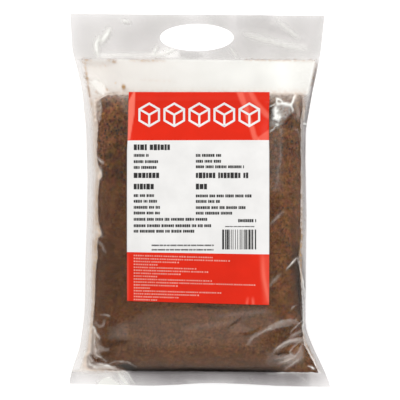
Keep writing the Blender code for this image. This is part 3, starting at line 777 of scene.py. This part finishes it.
def film_marks(x, y):
    """How milky, stained, grey and warm in tone the film is at each place, each from 0 to 1. Much of the
    white is painted highlight and reflection, and much of the grey is painted shade.
    """
    from_left, from_right, from_bottom, from_seal = distances(x, y)
    across, up = x / MM, y / MM
    from_weld = from_seal - between(WELD_PAST, across) * MM
    header, bottom, left, right = (
        clamped(0.5 - away / WELD_SOFT) for away in (from_weld, from_bottom, from_left, from_right)
    )
    left, right = (side * (1.0 - header) * (1.0 - bottom) for side in (left, right))
    pouch = 1.0 - np.maximum.reduce((header, bottom, left, right))
    insets = inside_sugar(x, y)
    inset = np.minimum.reduce(insets)
    full = 1.0 - smooth(0.5 - inset / SUGAR_SOFT)
    empty = (1.0 - full) * pouch
    beside = smooth(0.5 + (SUGAR_TOP - y) / STRIP_SOFT)
    under = smooth(1.0 - insets[2] / LOW_SOFT) * smooth((x - LOW_FROM) / CORNER_SOFT)

    cloud = noise_at(x, y, CLOUD_SIZE, 11.0)
    streaks = noise_at(x, STREAK_STRETCH * y, STREAK_SIZE, 13.0)
    speckle = clamped(SPECKLE_MIDDLE + SPECKLE_RANGE * noise_at(x, y, SPECKLE_SIZE, 3.0))
    breaks = 1.0 + CREASE_BREAKS * noise_at(x, y, BREAK_SIZE, 23.0)
    wavy_x, wavy_y = wavered(x, y)
    gleams = [(width, gleam, *points) for width, _, gleam, *points in CREASES]

    strip = np.where(x < 0.0, LEFT_STRIP_MILK, RIGHT_STRIP_MILK)
    strip = strip + (LOW_STRIP_MILK - strip) * under
    # Towards the right the shoulder's white is painted glare
    shoulder = between(SHOULDER_MILK_AND_GLARE, across) * (1.0 + SHOULDER_CLOUD * cloud)
    milk_and_highlights = empty * (strip * beside + shoulder * (1.0 - beside))
    welds = HEADER_MILK * header + BOTTOM_MILK * bottom + SIDE_MILK * (left + right)
    milk_and_highlights += welds * (1.0 + WELD_CLOUD * cloud)
    haze = between(TOP_HAZE, across) * fading(SUGAR_TOP - y, TOP_HAZE_REACH) * full
    milk_and_highlights += haze * (HAZE_LEAST + HAZE_SPECKLE * speckle)
    mottle = HAZE_MOTTLE * noise_at(x, y, HAZE_MOTTLE_SIZE, 25.0)
    mottle *= smooth(y / MOTTLE_RISE) * (1.0 - smooth((y - SUGAR_TOP) / STRIP_SOFT))
    milk_and_highlights += FILM_MILK + sum_of_patches(wavy_x, wavy_y, MILK_AND_HIGHLIGHT_PLACES) * (1.0 + mottle)
    # Painted highlights on the bottom fin
    milk_and_highlights += sum_of_lines(x, y, FIN_HIGHLIGHT_ARCS) + sum_of_patches(x, y, FIN_HIGHLIGHT_DOMES)
    # Painted highlights along creases, and painted light on one side of folds
    milk_and_highlights += sum_of_lines(wavy_x, wavy_y, gleams) * breaks
    for width, spread, share, *points in SHEEN_VEILS:
        milk_and_highlights += sum_of_lines(wavy_x, wavy_y, [(width, share, *points)], spread) * breaks

    stain = sum_of_lines(x, y, STAINS) * speckle + sum_of_lines(x, y, SPOTS) + HAZE_STAIN * haze
    strip_stain = LEFT_STRIP_STAIN * smooth((LEFT_STRIP_TO - x) / CORNER_SOFT)
    stain += empty * (strip_stain * beside + between(SHOULDER_STAIN, across) * (1.0 - beside))
    dust = between(EDGE_DUST, up) * fading(-inset, EDGE_DUST_REACH) * (DUST_LEAST + DUST_SPECKLE * speckle)
    stain += dust * empty * (1.0 - under)

    # Painted shade on the bottom fin, darkest at its weld
    fade = BOTTOM_GREY_WELD + (BOTTOM_GREY_EDGE - BOTTOM_GREY_WELD) * clamped(-from_bottom / BOTTOM_FIN)
    right_grey_shade = between(RIGHT_GREY_SHADE, up)
    grey_and_shading = between(HEADER_GREY, across) * header * (1.0 + HEADER_CLOUD * cloud)
    grey_and_shading *= 1.0 - HEADER_LIGHT * fading(y - SEAL, HEADER_LIGHT_REACH)
    grey_and_shading += between(BOTTOM_GREY_SHADE, across) * fade * bottom * (1.0 + BOTTOM_STREAKS * streaks)
    grey_and_shading += LEFT_GREY * left + right_grey_shade * right
    # Painted shade on the empty right strip
    grey_and_shading += RIGHT_STRIP_SHADE * right_grey_shade * empty * beside * smooth(x / RIGHT_SOFT) * (1.0 - under)
    grey_and_shading += sum_of_lines(x, y, GREY_LINES) + sum_of_patches(x, y, FACET_LIGHT_AND_SHADE)
    # Painted shade beside each crease
    shade = sum_of_lines(wavy_x - CREASE_SHADE_GAP, wavy_y + CREASE_SHADE_GAP, gleams)
    grey_and_shading += CREASE_SHADE * np.maximum(shade, 0.0)
    warm = full * pouch * (1.0 - sum_of_patches(x, y, COOL_PLACES))
    warm = warm * (1.0 - smooth((milk_and_highlights - WHITE_FROM) / WHITE_FROM)) + STAIN_WARMTH * stain
    return {"milk_and_highlights": clamped(milk_and_highlights), "stain": clamped(stain), "grey_and_shading": clamped(grey_and_shading), "warm": clamped(warm)}


class Material:
    """A new material and short ways to add nodes to it. Each way gives one output of its new node."""

    def __init__(self, name):
        self.made = bpy.data.materials.new(name)
        self.made.use_nodes = True
        self.tree = self.made.node_tree
        self.tree.nodes.clear()

    def add(self, kind, output, *values, settings=(), **named):
        """Inputs are given in order or by name: as values, as colours without alpha, or as other outputs."""
        node = self.tree.nodes.new("ShaderNode" + kind)
        for key, value in dict(settings).items():
            setattr(node, key, value)
        for key, value in [*enumerate(values), *named.items()]:
            socket = node.inputs[key.replace("_", " ") if isinstance(key, str) else key]
            if isinstance(value, bpy.types.NodeSocket):
                self.tree.links.new(value, socket)
            else:
                socket.default_value = (*value, 1.0) if socket.type == "RGBA" else value
        return node.outputs[output]

    def place(self):
        return self.add("TexCoord", "Object")

    def mark(self, name):
        return self.add("Attribute", "Fac", settings={"attribute_name": name})

    def math(self, operation, *values, kind="Math"):
        return self.add(kind, 0, *values, settings={"operation": operation})

    def mix(self, factor, a, b, blend="MIX"):
        settings = {"data_type": "RGBA", "blend_type": blend}
        return self.add("Mix", "Result", settings=settings, Factor=factor, A=a, B=b)

    def noise(self, at, scale, detail, output="Fac", **more):
        return self.add("TexNoise", output, Vector=at, Scale=scale, Detail=detail, **more)

    def bump(self, height, strength, distance, **more):
        return self.add("Bump", "Normal", Height=height, Strength=strength, Distance=distance, **more)

    def ramp(self, factor, first, last, *others):
        """Colours at positions: each is given as its position, red, green and blue."""
        colour = self.add("ValToRGB", "Color", factor)
        stops = colour.node.color_ramp.elements
        for stop, (position, *rgb) in zip(stops, (first, last)):
            stop.position, stop.color = position, (*rgb, 1.0)
        for position, *rgb in others:
            stops.new(position).color = (*rgb, 1.0)
        return colour

    def finish(self, surface):
        output = self.tree.nodes.new("ShaderNodeOutputMaterial")
        self.tree.links.new(surface, output.inputs["Surface"])
        return self.made


def film_material():
    """Clear gloss film: it lets light through, mirrors more at a slant, and is milky where it is creased,
    with painted highlights and reflections in the same white, and greyer with painted shade.
    """
    film = Material("clear_film")
    normal = film.bump(film.noise(film.place(), 70.0, 3.0), 0.30, 0.002)
    slant = film.math("POWER", film.add("LayerWeight", "Facing", Blend=0.5, Normal=normal), 6.0)
    # The grey mark darkens the film: its own grey, and painted shade on the fins, beside creases and on
    # facets
    grey_and_shading = film.mark("grey_and_shading")
    clean = film.math("MULTIPLY_ADD", grey_and_shading, -0.50, 0.50)
    mirror = film.math("MULTIPLY_ADD", slant, clean, 0.006)
    tint = film.mix(grey_and_shading, (0.975, 0.969, 0.966), (0.362, 0.340, 0.347))
    clear = film.add("BsdfTransparent", 0, Color=tint)
    gloss = film.add("BsdfGlossy", 0, Roughness=0.12, Normal=normal)
    cream = film.mix(film.mark("warm"), (0.955, 0.952, 0.910), (0.90, 0.80, 0.73))
    white = film.add("BsdfDiffuse", 0, Color=cream)
    dust = film.add("BsdfDiffuse", 0, Color=(0.40, 0.245, 0.115))
    sheet = film.add("MixShader", 0, mirror, clear, gloss)
    # The milk mark turns the film white: milky haze, and painted highlights, glints and reflections
    milk_and_highlight_mix = film.add("MixShader", 0, film.mark("milk_and_highlights"), sheet, white)
    return film.finish(film.add("MixShader", 0, film.mark("stain"), milk_and_highlight_mix, dust))


def sugar_material():
    """Moist brown sugar: granules of several browns, dark specks and a few pale crystals, with painted shade
    in pits between clumps and along dark lines.
    """
    sugar = Material("sugar")
    at = sugar.math("MULTIPLY", sugar.place(), (1.0, 1.0, 0.5), kind="VectorMath")
    grains = sugar.add("TexVoronoi", "Color", Vector=at, Scale=620.0)
    patches = sugar.noise(at, 80.0, 2.0, Roughness=0.5)
    mottle = sugar.mark("mottle")
    total = sugar.math("MULTIPLY", sugar.noise(at, 230.0, 2.0, Roughness=0.6), 0.40)
    total = sugar.math("MULTIPLY_ADD", patches, 0.35, total)
    total = sugar.math("MULTIPLY_ADD", sugar.noise(at, 22.0, 3.0), 0.25, total)
    spread = sugar.math("MULTIPLY_ADD", sugar.math("SUBTRACT", total, 0.5), mottle, 0.5)
    dark, pale, middle = (0.36, 0.042, 0.024, 0.014), (0.64, 0.188, 0.079, 0.032), (0.50, 0.104, 0.046, 0.020)
    browns = sugar.ramp(spread, dark, pale, middle)
    specks = sugar.ramp(grains, (0.0, 0.60, 0.60, 0.60), (1.0, 1.42, 1.40, 1.38))
    colour = sugar.mix(1.0, browns, specks, "MULTIPLY")
    drift = sugar.noise(at, 150.0, 1.0, "Color")
    hues = sugar.math("MULTIPLY_ADD", drift, (0.30, 1.00, 1.20), (0.85, 0.474, 0.395), kind="VectorMath")
    colour = sugar.mix(mottle, colour, hues, "MULTIPLY")
    # Brighter and darker by the tone mark, partly painted light along the sugar's left side
    colour = sugar.mix(1.0, colour, sugar.mark("tone_and_shading"), "MULTIPLY")
    # Dark specks, and painted shade in the pits between clumps
    pits = sugar.add("TexVoronoi", "Color", Vector=at, Scale=230.0)
    chosen = sugar.add("MapRange", 0, pits, 0.50, 0.62, 0.0, 1.0)
    spot = sugar.add("MapRange", 0, pits.node.outputs["Distance"], 0.18, 0.42, 0.85, 0.0)
    specks_and_pit_shade = sugar.math("MULTIPLY", sugar.math("MULTIPLY", chosen, spot), mottle)
    specks_and_pit_shade.node.use_clamp = True
    colour = sugar.mix(specks_and_pit_shade, colour, (0.022, 0.027, 0.028))
    # Darker where the film is damp and tight, and in painted shade under the label, beside the right weld and
    # towards the lower edge
    colour = sugar.mix(sugar.mark("damp_and_shade"), colour, (0.022, 0.017, 0.013))
    rough = sugar.bump(grains.node.outputs["Distance"], 0.6, 0.0008)
    lumps = sugar.bump(patches, 0.5, 0.002, Normal=rough)
    return sugar.finish(sugar.add(
        "BsdfPrincipled", 0, Base_Color=colour, Roughness=0.65, Specular_IOR_Level=0.08, Normal=lumps
    ))


def print_material(name, colour, glare_colour=(0.90, 0.86, 0.84)):
    """Ink on film: one colour, a little uneven, darker in painted shade and paler in painted glare where its
    marks say, under gloss.
    """
    ink = Material(name)
    at = ink.place()
    shade = ink.add("MapRange", 0, ink.noise(at, 45.0, 4.0), 0.3, 0.7, 0.95, 1.03)
    # Painted shade where the tone mark says
    inked = ink.mix(1.0, colour, ink.math("MULTIPLY", shade, ink.mark("tone_and_shading")), "MULTIPLY")
    # Painted glare: the ink turns paler where the pale mark says
    glared = ink.mix(ink.mark("pale"), inked, glare_colour)
    normal = ink.bump(ink.noise(at, 70.0, 3.0), 0.25, 0.001)
    return ink.finish(ink.add(
        "BsdfPrincipled", 0, Base_Color=glared, Roughness=0.20, Specular_IOR_Level=0.07, Normal=normal
    ))


def grain_material():
    """Amber crystals, from dark to pale."""
    grain = Material("grain")
    patches = grain.noise(grain.place(), 350.0, 2.0)
    browns = grain.ramp(patches, (0.35, 0.10, 0.040, 0.018), (0.65, 0.42, 0.20, 0.085))
    return grain.finish(grain.add("BsdfPrincipled", 0, Base_Color=browns, Roughness=0.35))


def make_sugar():
    """The mass of sugar: its front and back press against the film, its rim is a rounded nose."""
    across, along = SUGAR_CELLS
    rises = np.linspace(0.0, 1.0, along + 1)[:, None]
    level = SUGAR_LOW[0][1] * MM
    y = level + (SUGAR_TOP - level) * rises
    left, right = sugar_edge(SUGAR_LEFT, y), sugar_edge(SUGAR_RIGHT, y)
    x = left + (right - left) * np.linspace(0.0, 1.0, across + 1)
    low = sugar_edge(SUGAR_LOW, x, LOW_EASE)
    y = low + (SUGAR_TOP - low) * rises
    inset = np.minimum.reduce((x - left, right - x, y - low, SUGAR_TOP - y))
    nose = np.sqrt(1.0 - (1.0 - clamped(inset / SUGAR_NOSE)) ** 2)
    edge = 1.0 - clamped(inset / SUGAR_RIM)
    x = x + SUGAR_WAVE * noise_at(x, y, SUGAR_WAVE_SIZE, 5.0) * edge
    y = y + SUGAR_WAVE * noise_at(x, y, SUGAR_WAVE_SIZE, 6.0) * edge
    clumps = CLUMP_HEIGHT * np.maximum(noise_at(x, y, CLUMP_SIZE, 7.0), 0.0)
    clumps += CRUMB_HEIGHT * clamped(noise_at(x, y, CRUMB_SIZE, 2.0, to_nearest_cell))
    top = film_top(x, y) - SUGAR_GAP - clumps
    under = film_bottom(x, y) + SUGAR_GAP
    middle = (top + under) / 2
    z = middle + (top - middle) * nose, middle + (under - middle) * nose
    index = numbered(x)
    below = index + x.size
    below[[0, -1], :] = index[[0, -1], :]
    below[:, [0, -1]] = index[:, [0, -1]]
    faces = grid_faces(index) + grid_faces(below, True)
    sugar = add_object("sugar", ((x, x), (y, y), z), faces, sugar_material())
    # Painted shade where the sugar rounds down to its lower edge
    low_dark = LOW_DARK * np.exp(-((y - low) / LOW_DARK_REACH) ** 2)
    low_dark *= smooth((x - LOW_FROM) / LOW_DARK_START) * smooth((LOW_DARK_TO - x) / LOW_DARK_END)
    damp_and_shade = clamped(sum_of_lines(x, y, DAMP_AND_SHADE_LINES) + low_dark)
    mottle = MOTTLE_LEAST + sum_of_patches(x, y, MOTTLED_PLACES)
    # Painted light along the sugar's left side
    tone_and_shading = TONE_LEAST + EDGE_PAINTED_LIGHT * np.exp(-(x - left) / EDGE_PAINTED_LIGHT_REACH) + sum_of_patches(x, y, TONED_PLACES)
    add_marks(sugar, {"damp_and_shade": (damp_and_shade, damp_and_shade), "mottle": (mottle, mottle), "tone_and_shading": (tone_and_shading, tone_and_shading)})
    drop_loose_points(sugar)
    return sugar


def add_label_marks(obj, x, y):
    """How much painted glare and painted shade the label and the print have at each place."""
    pale = clamped(sum_of_patches(x, y, LABEL_GLARE) + sum_of_lines(x, y, LABEL_GLEAMS))
    add_marks(obj, {"pale": pale, "tone_and_shading": 1.0 + sum_of_patches(x, y, LABEL_SHADE)})


def make_label(white, red):
    """The label: a thin panel on the front sheet with a red band, a white middle and a red foot."""
    across = np.linspace(0.0, 1.0, LABEL_CELLS_ACROSS + 1)
    rows = []
    for low, high, cells in zip(LABEL_LINES, LABEL_LINES[1:], LABEL_ZONE_CELLS):
        start, end = low[0] + (low[1] - low[0]) * across, high[0] + (high[1] - high[0]) * across
        shares = np.linspace(0.0, 1.0, cells + 1)[1 if rows else 0 :]
        rows += [start + (end - start) * share for share in shares]
    y = np.array(rows)
    left, right = (between(LABEL_SIDES, y, side) for side in (1, 2))
    x = left + (right - left) * across
    label = add_object("label_panel", (x, y, film_top(x, y) + LABEL_LIFT), grid_faces(numbered(x)), white)
    label.data.materials.append(red)
    add_label_marks(label, x, y)
    foot, middle, _ = LABEL_ZONE_CELLS
    zone = np.repeat(np.arange(len(y) - 1), LABEL_CELLS_ACROSS)
    reds = ((zone < foot) | (zone >= foot + middle)).astype(np.int32)
    label.data.polygons.foreach_set("material_index", reds)
    thick = label.modifiers.new("thickness", "SOLIDIFY")
    thick.thickness, thick.offset = LABEL_THICKNESS, 1.0
    return label


def stroke_places(x0, y0, x1, y1, width):
    """Places of a flat stroke of ink, on a grid fine enough to follow the label. Metres."""
    dx, dy = x1 - x0, y1 - y0
    length = math.hypot(dx, dy)
    along = np.linspace(0.0, 1.0, int(length / PRINT_CELL) + 2)[None, :]
    across = np.linspace(-0.5, 0.5, int(width / PRINT_CELL) + 2)[:, None] * width
    return x0 + dx * along - dy / length * across, y0 + dy * along + dx / length * across


def make_print(name, strokes, material):
    """Strokes of ink on the label in one mesh: each is x and y of its start and end, and its width, in mm."""
    places, faces, count = [], [], 0
    for stroke in strokes:
        x, y = stroke_places(*(MM * np.array(stroke)))
        faces += grid_faces(numbered(x) + count)
        count += x.size
        places.append((x.ravel(), y.ravel()))
    x, y = np.concatenate(places, axis=1)
    z = film_top(x, y) + LABEL_LIFT + LABEL_THICKNESS + PRINT_LIFT
    ink = add_object(name, (x, y, z), faces, material)
    add_label_marks(ink, x, y)
    return ink


def row_of_blocks(draw, start, height, length, tall, slope=0.0, widths=BLOCK_WIDTHS, gap=BLOCK_GAP):
    """A row of small blocks in groups, in place of a line of text."""
    strokes, at, left_in_word = [], 0.0, int(draw.integers(*WORD_BLOCKS))
    while True:
        wide = tall * draw.uniform(*widths)
        if at + wide > length:
            return strokes
        y = height + slope * (at + wide / 2)
        strokes.append((start + at, y, start + at + wide, y, tall * draw.uniform(*BLOCK_HEIGHTS)))
        left_in_word -= 1
        at += wide + tall * gap
        if left_in_word == 0:
            at += tall * WORD_GAP
            left_in_word = int(draw.integers(*WORD_BLOCKS))


def make_rows():
    """The blocks of all rows: bold and fine ones on the white, and pale ones on the foot."""
    draw = np.random.default_rng(SEED + 1)
    inks = {0: [], 1: []}
    for start, rows in PRINT_ROWS.items():
        for height, length, tall, bold in rows:
            inks[bold] += row_of_blocks(draw, start, height, length, tall)
    foot = []
    for row, length in enumerate(FOOT_ROW_LENGTHS):
        height = FOOT_ROW_TOP - row * FOOT_ROW_PITCH
        foot += row_of_blocks(
            draw, LEFT_COLUMN, height, length, FOOT_BLOCK, FOOT_ROW_SLOPE, FOOT_BLOCK_WIDTHS, FOOT_BLOCK_GAP
        )
    return inks[1], inks[0], foot


def make_stripes():
    """A field of upright stripes of uneven width."""
    draw = np.random.default_rng(SEED + 2)
    strokes, x = [], STRIPES_LEFT
    while True:
        wide = STRIPE_UNIT * draw.integers(1, 4)
        if x + wide > STRIPES_RIGHT:
            return strokes
        middle = x + wide / 2
        strokes.append((middle, STRIPES_LOW, middle, STRIPES_HIGH, wide * STRIPE_SPREAD))
        x += wide + STRIPE_UNIT * draw.integers(1, 4)


def make_cubes():
    """Outlines of a row of sugar cubes, seen from a corner."""
    strokes = []
    turns = [math.radians(30 + 60 * corner) for corner in range(6)]
    hexagon = [(CUBE_RADIUS * math.cos(turn), CUBE_RADIUS * math.sin(turn)) for turn in turns]
    for centre in CUBE_CENTRES:
        corners = [(centre + x, CUBE_HEIGHT + y) for x, y in hexagon]
        lines = list(zip(corners, corners[1:] + corners[:1]))
        lines += [((centre, CUBE_HEIGHT), corner) for corner in corners[::2]]
        for (x0, y0), (x1, y1) in lines:
            more = CUBE_OVERRUN / math.hypot(x1 - x0, y1 - y0)
            over_x, over_y = (x1 - x0) * more, (y1 - y0) * more
            strokes.append((x0 - over_x, y0 - over_y, x1 + over_x, y1 + over_y, CUBE_STROKE))
    return strokes


def make_grains(material):
    """Loose grains inside the film, as one mesh of small uneven crystals."""
    draw = np.random.default_rng(SEED + 3)
    ball = bmesh.new()
    bmesh.ops.create_icosphere(ball, subdivisions=1, radius=1.0)
    shape = np.array([v.co[:] for v in ball.verts])
    corners = np.array([[v.index for v in f.verts] for f in ball.faces])
    ball.free()
    places = []
    for stray, count, *points in LOOSE_GRAINS:
        line = rounded(in_metres(points))
        steps = np.linspace(0.0, len(line) - 1.0, GRAIN_STEPS)
        for along in draw.uniform(0, GRAIN_STEPS - 1, count):
            place = [np.interp(steps[int(along)], np.arange(len(line)), part) for part in line.T]
            x, y = (part + draw.normal(0.0, stray * MM) for part in place)
            places.append((x, y, draw.uniform(*GRAIN_SIZES)))
    x, y, size = np.array(places).T
    top = film_top(x, y)
    z = top - np.minimum(size + GRAIN_DEPTH, (top - film_bottom(x, y)) / 2)
    verts, faces = [], []
    for place, reach in zip(np.stack((x, y, z), axis=1), size):
        squash = draw.uniform(*GRAIN_SQUASH, 3) * reach
        turned = shape + GRAIN_ROUGHNESS * draw.normal(size=shape.shape)
        faces += (corners + len(verts)).tolist()
        verts += (turned * squash + place).tolist()
    return add_object("loose_grains", np.transpose(verts), faces, material, smooth_shaded=False)


def make_floor():
    """A pale ground that glows a little, so that it looks white."""
    bpy.ops.mesh.primitive_plane_add(size=16.0, location=(0.0, 0.0, -0.0005))
    floor = bpy.context.object
    floor.name = "floor"
    ground = Material("floor")
    pale = ground.add("BsdfDiffuse", 0, Color=(0.95, 0.95, 0.95))
    glow = ground.add("Emission", 0, Color=(1.0, 1.0, 1.0), Strength=0.35)
    floor.data.materials.append(ground.finish(ground.add("AddShader", 0, pale, glow)))


def make_light(name, place, size, power, target=(0.0, 0.0, 0.03)):
    data = bpy.data.lights.new(name, "AREA")
    data.shape = "RECTANGLE"
    data.size, data.size_y = size
    data.energy = power
    light = bpy.data.objects.new(name, data)
    light.location = place
    light.rotation_euler = (Vector(target) - Vector(place)).to_track_quat("-Z", "Y").to_euler()
    light.visible_camera = False
    bpy.context.scene.collection.objects.link(light)


def make_light_and_camera():
    """Soft banks of light round the pouch, and a far camera that looks straight down on it."""
    make_light("high_right", (1.05, 0.85, 2.1), (0.50, 0.45), 6.0)
    make_light("high_left", (-1.15, 0.80, 2.0), (0.25, 0.50), 3.0)
    make_light("low_right", (1.1, 2.1, 0.7), (0.6, 0.6), 4.5, (0.10, 0.16, 0.03))
    make_light("top_bank", (0.0, 2.6, 2.2), (3.2, 1.2), 15.0)
    make_light("low_bank", (0.0, -2.8, 1.9), (3.2, 1.2), 16.0)
    scene = bpy.context.scene
    scene.world = bpy.data.worlds.new("studio")
    scene.world.use_nodes = True
    background = scene.world.node_tree.nodes["Background"]
    background.inputs["Color"].default_value = (1.0, 1.0, 1.0, 1.0)
    background.inputs["Strength"].default_value = 0.82

    data = bpy.data.cameras.new("camera")
    data.sensor_width, data.lens = 36.0, 250.0
    data.clip_end = 50.0
    camera = bpy.data.objects.new("camera", data)
    camera.location = (0.0009, 0.0, 0.030 + 0.5 * data.lens / data.sensor_width)
    scene.collection.objects.link(camera)
    scene.camera = camera
    scene.view_settings.view_transform = "Standard"


def main():
    film = film_material()
    front = make_film_sheet("film_front", film, film_top, 1, False)
    back = make_film_sheet("film_back", film, film_bottom, BACK_STEP, True)
    sugar = make_sugar()
    grains = make_grains(grain_material())
    label = make_label(
        print_material("label_white", (0.81, 0.80, 0.785)),
        print_material("label_red", (0.735, 0.025, 0.009), (1.0, 0.27, 0.19)),
    )
    bold, fine, foot = make_rows()
    prints = (
        make_print("print_bold", bold, print_material("ink_black", (0.035, 0.034, 0.034))),
        make_print("print_fine", fine + make_stripes(), print_material("ink_grey", (0.040, 0.039, 0.038))),
        make_print("print_foot", foot, print_material("ink_pale", (0.80, 0.36, 0.30))),
        make_print("motif", make_cubes(), print_material("ink_white", (0.83, 0.82, 0.81))),
    )
    inside, outside = (front, back, sugar, grains), (label,) + prints
    for piece in inside + outside:
        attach(piece, "root")
    for piece in inside:
        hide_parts("bag")
    for piece in outside:
        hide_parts("label")
    make_floor()
    make_light_and_camera()


main()
